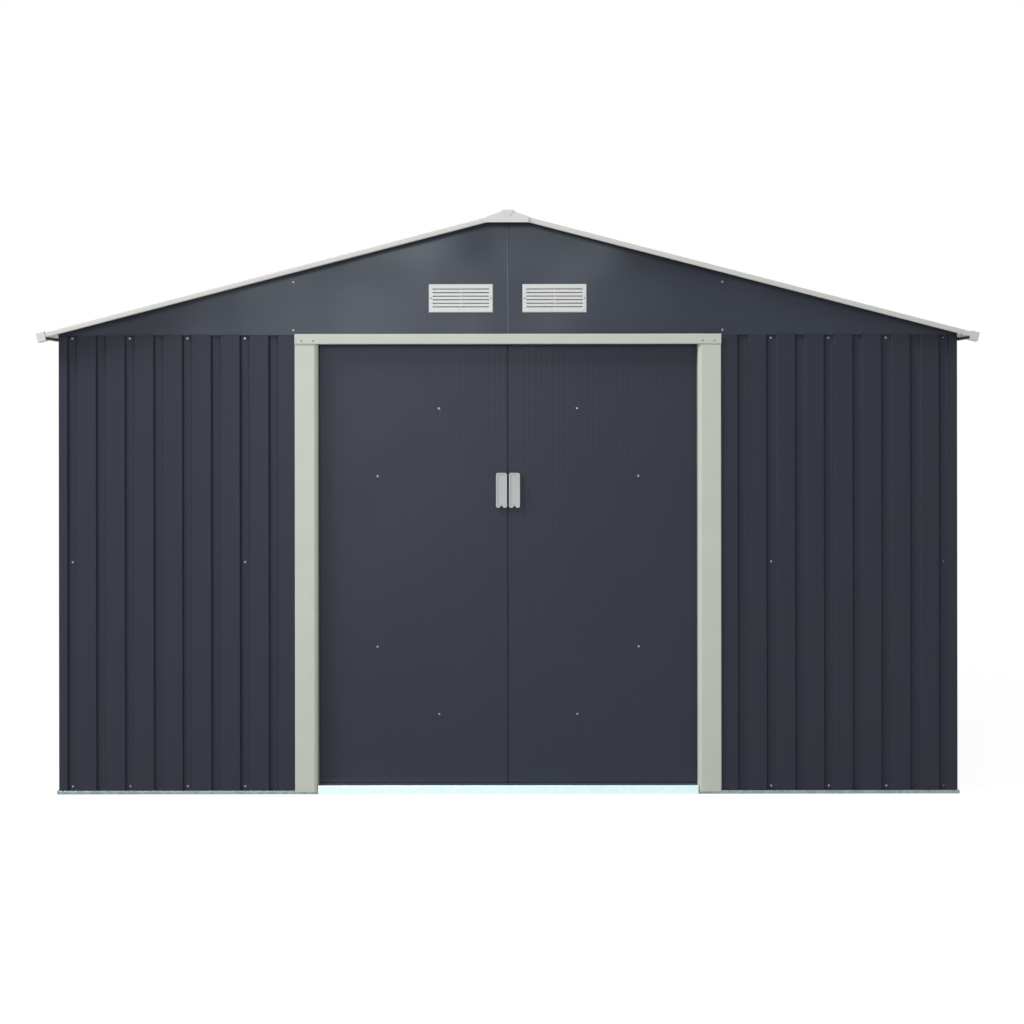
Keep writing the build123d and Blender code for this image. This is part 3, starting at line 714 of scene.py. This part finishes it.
def screw_tree(material):
    """Geometry Nodes that set a washer and a cross-slotted head on every point, facing outward."""
    tree = bpy.data.node_groups.new("screw_heads", "GeometryNodeTree")
    face = tree.interface
    face.new_socket("Places", in_out="INPUT", socket_type="NodeSocketGeometry")
    for name in ("Head radius", "Head height", "Washer radius", "Washer height", "Slot width"):
        face.new_socket(name, in_out="INPUT", socket_type="NodeSocketFloat")
    face.new_socket("Screws", in_out="OUTPUT", socket_type="NodeSocketGeometry")
    sizes = add_node(tree, "NodeGroupInput").outputs
    washer = add_node(
        tree,
        "GeometryNodeMeshCone",
        {
            "Vertices": SCREW_SIDES,
            "Radius Top": sizes["Washer radius"],
            "Radius Bottom": sizes["Washer radius"],
            "Depth": sizes["Washer height"],
        },
    )
    crown_radius = add_node(
        tree, "ShaderNodeMath", {0: sizes["Head radius"], 1: CROWN_SHARE}, operation="MULTIPLY"
    )
    head = add_node(
        tree,
        "GeometryNodeMeshCone",
        {
            "Vertices": SCREW_SIDES,
            "Radius Top": crown_radius.outputs[0],
            "Radius Bottom": sizes["Head radius"],
            "Depth": sizes["Head height"],
        },
    )
    slot_length = add_node(
        tree, "ShaderNodeMath", {0: sizes["Head radius"], 1: SLOT_SHARE}, operation="MULTIPLY"
    )
    slot_size = add_node(
        tree,
        "ShaderNodeCombineXYZ",
        {"X": slot_length.outputs[0], "Y": sizes["Slot width"], "Z": sizes["Head height"]},
    )
    slot = add_node(tree, "GeometryNodeMeshCube", {"Size": slot_size.outputs[0]})
    slot_place = add_node(tree, "ShaderNodeCombineXYZ", {"Z": sizes["Head height"]})
    bar = add_node(
        tree,
        "GeometryNodeTransform",
        {"Geometry": slot.outputs["Mesh"], "Translation": slot_place.outputs[0]},
    )
    cross_bar = add_node(
        tree,
        "GeometryNodeTransform",
        {"Geometry": bar.outputs["Geometry"], "Rotation": (0.0, 0.0, math.pi / 2)},
    )
    cut = add_node(
        tree, "GeometryNodeMeshBoolean", {"Mesh 1": head.outputs["Mesh"]}, operation="DIFFERENCE"
    )
    tree.links.new(bar.outputs["Geometry"], cut.inputs["Mesh 2"])
    tree.links.new(cross_bar.outputs["Geometry"], cut.inputs["Mesh 2"])
    head_place = add_node(tree, "ShaderNodeCombineXYZ", {"Z": sizes["Washer height"]})
    raised = add_node(
        tree,
        "GeometryNodeTransform",
        {"Geometry": cut.outputs["Mesh"], "Translation": head_place.outputs[0]},
    )
    screw = add_node(tree, "GeometryNodeJoinGeometry")
    tree.links.new(washer.outputs["Mesh"], screw.inputs["Geometry"])
    tree.links.new(raised.outputs["Geometry"], screw.inputs["Geometry"])
    facing = add_node(
        tree, "GeometryNodeInputNamedAttribute", {"Name": "facing"}, data_type="FLOAT_VECTOR"
    )
    upright = add_node(
        tree,
        "FunctionNodeAlignRotationToVector",
        {"Vector": facing.outputs["Attribute"]},
        axis="Z",
    )
    spin = add_node(
        tree, "FunctionNodeRandomValue", {"Max": math.pi, "Seed": SPIN_SEED}, data_type="FLOAT"
    )
    spin_axis = add_node(tree, "ShaderNodeCombineXYZ", {"Z": spin.outputs[1]})
    turned = add_node(
        tree,
        "FunctionNodeRotateRotation",
        {"Rotation": upright.outputs[0], "Rotate By": spin_axis.outputs[0]},
        rotation_space="LOCAL",
    )
    placed = add_node(
        tree,
        "GeometryNodeInstanceOnPoints",
        {
            "Points": sizes["Places"],
            "Instance": screw.outputs["Geometry"],
            "Rotation": turned.outputs[0],
        },
    )
    real = add_node(
        tree, "GeometryNodeRealizeInstances", {"Geometry": placed.outputs["Instances"]}
    )
    plated = add_node(
        tree,
        "GeometryNodeSetMaterial",
        {"Geometry": real.outputs["Geometry"], "Material": material},
    )
    add_node(tree, "NodeGroupOutput", {"Screws": plated.outputs["Geometry"]})
    return tree


def surface_of(node):
    """A node's surface, for finding where a screw seats on it."""
    mesh = frame["nodes"][node].data
    return BVHTree.FromPolygons(
        [vertex.co for vertex in mesh.vertices], [face.vertices for face in mesh.polygons]
    )


def seats_on(node, starts, direction):
    """Points and outward normals where rays from the starts first meet a node."""
    surface = surface_of(node)
    seats = []
    for start in starts:
        point, normal, _, _ = surface.ray_cast(Vector(start), Vector(direction), RAY_REACH)
        if point is None:
            raise RuntimeError(f"no seat for a screw on {node} from {tuple(start)}")
        seats.append((point, normal))
    return seats


def screws_piece(name, seats, body, tree, sizes, share=1.0):
    """One mesh of screws, standing on their seats and riding on a body."""
    places = bpy.data.meshes.new(f"{name}_places")
    places.from_pydata([point for point, _ in seats], [], [])
    facing = places.attributes.new("facing", "FLOAT_VECTOR", "POINT")
    facing.data.foreach_set("vector", [value for _, normal in seats for value in normal])
    piece = bpy.data.objects.new(name, places)
    bpy.context.scene.collection.objects.link(piece)
    heads = piece.modifiers.new("screw_heads", "NODES")
    heads.node_group = tree
    values = {
        "Head radius": sizes.head_radius * share,
        "Head height": sizes.head_height * share,
        "Washer radius": sizes.washer_radius * share,
        "Washer height": sizes.washer_height * share,
        "Slot width": sizes.slot_width * share,
    }
    for socket in tree.interface.items_tree:
        if socket.name in values:
            heads[socket.identifier] = values[socket.name]
    piece.data = evaluated_mesh(piece)
    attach(piece, body)


def even_places(low, high, inset, pitch):
    """Places from one inset to the other, near the pitch apart."""
    run = high - low - 2 * inset
    spans = round(run / pitch)
    return [low + inset + index * run / spans for index in range(spans + 1)]


class SHED_OT_screws(bpy.types.Operator):
    """Sets the screws in the walls, gables, roof, frame, vents and doors"""

    bl_idname = "shed.screws"
    bl_label = "Screws"

    def execute(self, context):
        sizes = context.scene.shed_screws
        finish = context.scene.shed_finish
        tree = screw_tree(
            galvanised_steel("zinc_plated_screws", finish.screw_colour, roughness=0.42)
        )
        # The small screws on the vents and header are drawn darker than the others.
        dark_tree = screw_tree(
            galvanised_steel("dark_small_screws", finish.dark_screw_colour, roughness=0.4)
        )
        low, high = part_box("corner_posts")
        reach = RAY_REACH / 2
        rows = {
            "top": high.z - sizes.top_drop,
            "middle": sizes.middle_height,
            "foot": sizes.foot_height,
        }

        def wall_spots(places):
            """Screws at the top and foot of every other groove, and halfway up at the laps."""
            spots = []
            for index, place in enumerate(places):
                if index % 2 == 0:
                    spots += [(place, rows["top"]), (place, rows["foot"])]
                if index % SHEET_RIBS == 0:
                    spots.append((place, rows["middle"]))
            return spots

        jamb_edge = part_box("right_jamb")[1].x
        run = high.x - jamb_edge - JAMB_RIB_INSET - CORNER_RIB_INSET
        spans = round(run / RIB_PITCH)
        front = [high.x - CORNER_RIB_INSET - index * run / spans for index in range(spans + 1)]
        for side, node in ((-1, "front_wall_left"), (1, "front_wall_right")):
            starts = [(side * x, low.y - reach, z) for x, z in wall_spots(front)]
            seats = seats_on(node, starts, (0, 1, 0))
            screws_piece(f"{node}_screws", seats, "shed", tree, sizes)
        across = even_places(low.x, high.x, CORNER_RIB_INSET, RIB_PITCH)
        starts = [(x, high.y + reach, z) for x, z in wall_spots(across)]
        seats = seats_on("back_wall", starts, (0, -1, 0))
        screws_piece("back_wall_screws", seats, "shed", tree, sizes)
        along = even_places(low.y, high.y, CORNER_RIB_INSET, RIB_PITCH)
        for side, node in ((-1, "left_wall"), (1, "right_wall")):
            starts = [(side * (high.x + reach), y, z) for y, z in wall_spots(along)]
            seats = seats_on(node, starts, (-side, 0, 0))
            screws_piece(f"{node}_screws", seats, "shed", tree, sizes)

        for y, way, names in (
            (low.y - reach, 1, ("front_gable_left", "front_gable_right")),
            (high.y + reach, -1, ("back_gable_left", "back_gable_right")),
        ):
            seats = []
            for side, node in zip((-1, 1), names):
                starts = [(side * sizes.purlin_out, y, z) for z in GABLE_ROWS]
                seats += seats_on(node, starts, (0, way, 0))
            face = "front" if way > 0 else "back"
            screws_piece(f"{face}_gable_screws", seats, "shed", tree, sizes)

        vent_low, vent_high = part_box("front_right_vent")
        middle = (vent_low + vent_high) / 2
        seats = []
        for side, node in ((-1, "front_left_vent"), (1, "front_right_vent")):
            starts = [
                (side * x, low.y - reach, middle.z)
                for x in (vent_low.x + VENT_INSET, vent_high.x - VENT_INSET)
            ]
            seats += seats_on(node, starts, (0, 1, 0))
        screws_piece("vent_screws", seats, "shed", dark_tree, sizes, sizes.small_share)

        starts = [(side * x, low.y - reach, HEADER_ROW) for side in (-1, 1) for x in HEADER_SPOTS]
        seats = seats_on("header", starts, (0, 1, 0))
        screws_piece("header_screws", seats, "shed", dark_tree, sizes, sizes.small_share)

        trim_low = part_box("front_roof_trims")[0]
        starts = [
            (side * x, trim_low.y + TRIM_INSET, trim_low.z - reach)
            for side in (-1, 1)
            for x in EAVE_BOLTS
        ]
        seats = seats_on("front_roof_trims", starts, (0, 0, 1))
        screws_piece("eave_bolts", seats, "shed", tree, sizes, sizes.bolt_share)

        for side, body in ((-1, "left_door"), (1, "right_door")):
            starts = [(side * x, low.y - reach, z) for x, z in DOOR_SPOTS]
            seats = seats_on(f"{body}_leaf", starts, (0, 1, 0))
            screws_piece(f"{body}_screws", seats, body, tree, sizes)

        roof_low, roof_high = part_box("right_roof")
        ribs = even_places(roof_low.y, roof_high.y, ROOF_RIB_INSET, ROOF_RIB_PITCH)
        for side, node in ((-1, "left_roof"), (1, "right_roof")):
            starts = [
                (side * x, y, roof_high.z + reach / 2)
                for x in (RIDGE_ROW, sizes.purlin_out, high.x - EAVE_INSET)
                for y in ribs[::2]
            ]
            seats = seats_on(node, starts, (0, 0, -1))
            screws_piece(f"{node}_screws", seats, "shed", tree, sizes)
        return {"FINISHED"}


class SHED_OT_stage(bpy.types.Operator):
    """Sets the floor, the lamps, the surroundings and the camera"""

    bl_idname = "shed.stage"
    bl_label = "Stage"

    def execute(self, context):
        stage = context.scene.shed_stage
        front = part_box("front_wall_left")[0].y
        self.lay_floor(stage)
        white = (1.0, 1.0, 1.0)
        blue = (0.8, 0.91, 1.0)
        violet = (0.9, 0.89, 1.0)
        # Each lamp's place across, in front of the wall and up, the point of the wall that it is
        # aimed at, its size, its power and its colour
        for name, (x, distance, z), (aim_x, aim_z), size, power, colour in (
            ("key_lamp", (-6.6, 4.1, 8.0), (0.0, 1.0), (4.0, 4.0), stage.key_power, white),
            ("sheen_lamp", (-0.85, 5.8, 2.85), (-0.3, 1.8), (1.3, 1.3), stage.sheen_power, blue),
            ("door_lamp", (-1.0, 5.8, 1.0), (-0.4, 1.0), (1.0, 1.2), stage.door_power, violet),
        ):
            place = (x, front - distance, z)
            self.hang_lamp(name, place, (aim_x, front, aim_z), size, power, colour)
        self.light_surroundings(context.scene, stage)
        self.place_camera(context.scene, stage, front)
        return {"FINISHED"}

    def lay_floor(self, stage):
        """A pale floor that shows white and keeps the shadow, with no glow inside the shed."""
        half = stage.floor_size / 2
        low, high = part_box("side_base_rails")
        mesh = bpy.data.meshes.new("studio_floor")
        outer = [(-half, -half, 0), (half, -half, 0), (half, half, 0), (-half, half, 0)]
        inner = [(low.x, low.y, 0), (high.x, low.y, 0), (high.x, high.y, 0), (low.x, high.y, 0)]
        ring = [(side, (side + 1) % 4, (side + 1) % 4 + 4, side + 4) for side in range(4)]
        mesh.from_pydata(outer + inner, [], ring + [(4, 5, 6, 7)])
        mesh.polygons[4].material_index = 1
        for name, share in (("studio_floor_paper", GLOW_SHARE), ("studio_floor_indoors", 0.0)):
            mesh.materials.append(self.paper(name, share))
        floor = bpy.data.objects.new("studio_floor", mesh)
        bpy.context.scene.collection.objects.link(floor)

    def paper(self, name, share):
        """Matt pale paper, which takes a share of its tone from a white glow where it is seen."""
        material = bpy.data.materials.new(name)
        material.use_nodes = True
        tree = material.node_tree
        tree.nodes.clear()
        tone = (FLOOR_TONE, FLOOR_TONE, FLOOR_TONE, 1.0)
        paper = add_node(tree, "ShaderNodeBsdfDiffuse", {"Color": tone})
        glow = add_node(tree, "ShaderNodeEmission", {"Strength": FLOOR_GLOW})
        seen = add_node(
            tree, "ShaderNodeMath", {0: self.shown_rays(tree), 1: share}, operation="MULTIPLY"
        )
        mixed = add_node(
            tree,
            "ShaderNodeMixShader",
            {0: seen.outputs[0], 1: paper.outputs[0], 2: glow.outputs[0]},
        )
        add_node(tree, "ShaderNodeOutputMaterial", {"Surface": mixed.outputs[0]})
        return material

    def shown_rays(self, tree):
        """One for rays from the camera, from gloss and through glass, and none for other light."""
        path = add_node(tree, "ShaderNodeLightPath")
        both = add_node(
            tree,
            "ShaderNodeMath",
            {0: path.outputs["Is Camera Ray"], 1: path.outputs["Is Glossy Ray"]},
            operation="MAXIMUM",
        )
        every = add_node(
            tree,
            "ShaderNodeMath",
            {0: both.outputs[0], 1: path.outputs["Is Transmission Ray"]},
            operation="MAXIMUM",
        )
        return every.outputs[0]

    def hang_lamp(self, name, place, target, size, power, colour):
        """A soft rectangular lamp aimed at a point."""
        lamp = bpy.data.lights.new(name, "AREA")
        lamp.shape = "RECTANGLE"
        lamp.size, lamp.size_y = size
        lamp.energy = power
        lamp.color = colour
        holder = bpy.data.objects.new(name, lamp)
        holder.location = place
        aim = Vector(target) - Vector(place)
        holder.rotation_euler = aim.to_track_quat("-Z", "Y").to_euler()
        bpy.context.scene.collection.objects.link(holder)

    def light_surroundings(self, scene, stage):
        """A white surround to look at, and a soft sky, brighter overhead, to light the shed."""
        world = bpy.data.worlds.new("studio")
        world.use_nodes = True
        tree = world.node_tree
        tree.nodes.clear()
        way = add_node(tree, "ShaderNodeTexCoord").outputs["Generated"]
        parts = add_node(tree, "ShaderNodeSeparateXYZ", {"Vector": way})
        height = add_node(
            tree,
            "ShaderNodeMapRange",
            {
                "Value": parts.outputs["Z"],
                "From Min": SKY_FROM,
                "From Max": SKY_TO,
                "To Min": SKY_LOW * stage.sky_strength,
                "To Max": SKY_HIGH * stage.sky_strength,
            },
        )
        sky = add_node(
            tree,
            "ShaderNodeBackground",
            {"Color": SKY_COLOUR, "Strength": height.outputs["Result"]},
        )
        white = add_node(tree, "ShaderNodeBackground", {"Color": (1.0, 1.0, 1.0, 1.0)})
        mixed = add_node(
            tree,
            "ShaderNodeMixShader",
            {0: self.shown_rays(tree), 1: sky.outputs[0], 2: white.outputs[0]},
        )
        add_node(tree, "ShaderNodeOutputWorld", {"Surface": mixed.outputs[0]})
        scene.world = world
        scene.view_settings.view_transform = "Standard"

    def place_camera(self, scene, stage, front):
        """A level camera square to the front, its lens shifted to the photograph's framing."""
        lens = bpy.data.cameras.new("front_camera")
        lens.sensor_fit = "HORIZONTAL"
        lens.lens = lens.sensor_width * stage.camera_distance / stage.view_width
        lens.shift_x = stage.shift_x
        lens.shift_y = stage.shift_y
        camera = bpy.data.objects.new("front_camera", lens)
        camera.location = (0, front - stage.camera_distance, stage.camera_height)
        camera.rotation_euler = (math.pi / 2, stage.roll, 0)
        scene.collection.objects.link(camera)
        scene.camera = camera


class SHED_PT_panel(bpy.types.Panel):
    """Lists the steps that dress the shed"""

    bl_idname = "SHED_PT_panel"
    bl_label = "Metal storage shed"
    bl_space_type = "VIEW_3D"
    bl_region_type = "UI"
    bl_category = "Shed"

    def draw(self, context):
        for operator in OPERATORS:
            self.layout.operator(operator.bl_idname)
        for group in (
            context.scene.shed_finish,
            context.scene.shed_screws,
            context.scene.shed_stage,
        ):
            for name in group.bl_rna.properties.keys():
                if name not in ("rna_type", "name"):
                    self.layout.prop(group, name)


GROUPS = (ShedFinish, ShedScrews, ShedStage)
OPERATORS = (
    SHED_OT_wall_sheets,
    SHED_OT_gables,
    SHED_OT_roof_sheets,
    SHED_OT_door_leaves,
    SHED_OT_door_frame,
    SHED_OT_rails,
    SHED_OT_mouldings,
    SHED_OT_screws,
    SHED_OT_stage,
)


def register():
    """Registers the property groups, the operators and the panel."""
    for item in (*GROUPS, *OPERATORS, SHED_PT_panel):
        bpy.utils.register_class(item)
    bpy.types.Scene.shed_finish = bpy.props.PointerProperty(type=ShedFinish)
    bpy.types.Scene.shed_screws = bpy.props.PointerProperty(type=ShedScrews)
    bpy.types.Scene.shed_stage = bpy.props.PointerProperty(type=ShedStage)


def unregister():
    """Takes them off again."""
    del bpy.types.Scene.shed_stage
    del bpy.types.Scene.shed_screws
    del bpy.types.Scene.shed_finish
    for item in reversed((*GROUPS, *OPERATORS, SHED_PT_panel)):
        bpy.utils.unregister_class(item)


def main():
    """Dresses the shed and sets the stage."""
    register()
    bpy.ops.shed.wall_sheets()
    bpy.ops.shed.gables()
    bpy.ops.shed.roof_sheets()
    bpy.ops.shed.door_leaves()
    bpy.ops.shed.door_frame()
    bpy.ops.shed.rails()
    bpy.ops.shed.mouldings()
    bpy.ops.shed.screws()
    bpy.ops.shed.stage()


if __name__ == "__main__":
    main()
